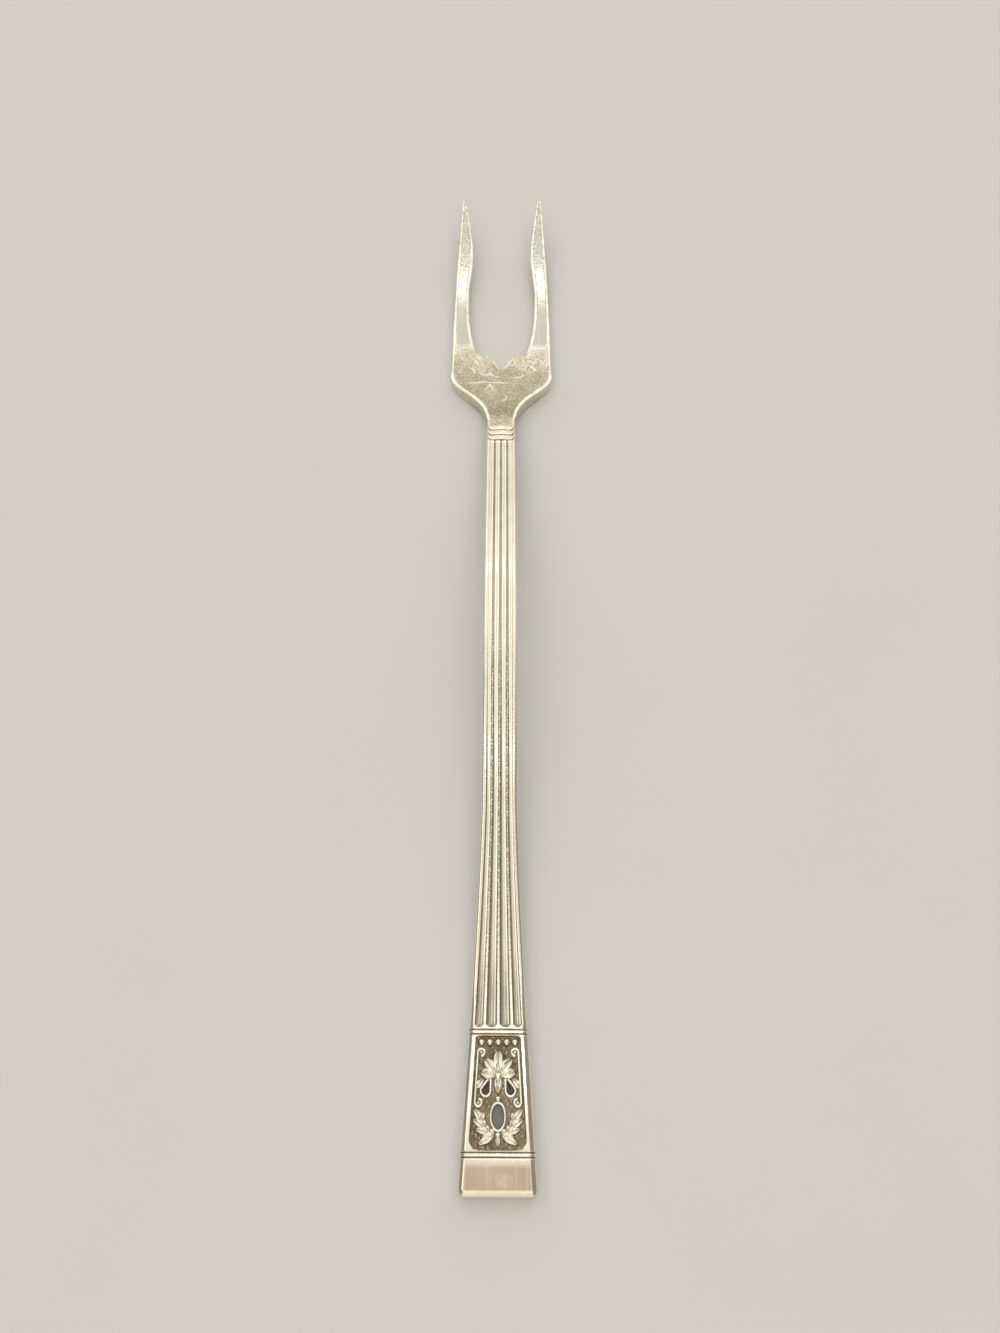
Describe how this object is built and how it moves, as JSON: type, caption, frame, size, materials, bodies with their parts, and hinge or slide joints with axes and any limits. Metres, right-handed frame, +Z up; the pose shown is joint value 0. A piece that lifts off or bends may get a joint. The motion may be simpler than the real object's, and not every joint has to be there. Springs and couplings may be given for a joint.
{
  "type": "oyster fork",
  "caption": "Slim table fork with long barbed tines, a beaded collar, a fluted handle that flares to a square end, and a pierced relief panel, for lifting oysters or pickles.",
  "frame": {"origin": "on the table, under the middle of the fork's length and width as it lies on its back", "axes": "+Y along the fork towards the tips of the tines, +Z up out of its decorated front, +X to the right seen from above with the tips away"},
  "size_m": [0.0164, 0.157, 0.0077],
  "materials": {
    "silver_plate": "polished",
    "toned_silver": "satin"
  },
  "bodies": {
    "root": {"fork_head": "silver_plate", "handle": "silver_plate", "collar_beads": "silver_plate", "openwork_panel": "toned_silver", "bead_row": "toned_silver", "palmette": "toned_silver", "side_scrolls": "toned_silver", "leaf_sprays": "toned_silver", "berries": "toned_silver"}
  },
  "joints": []
}
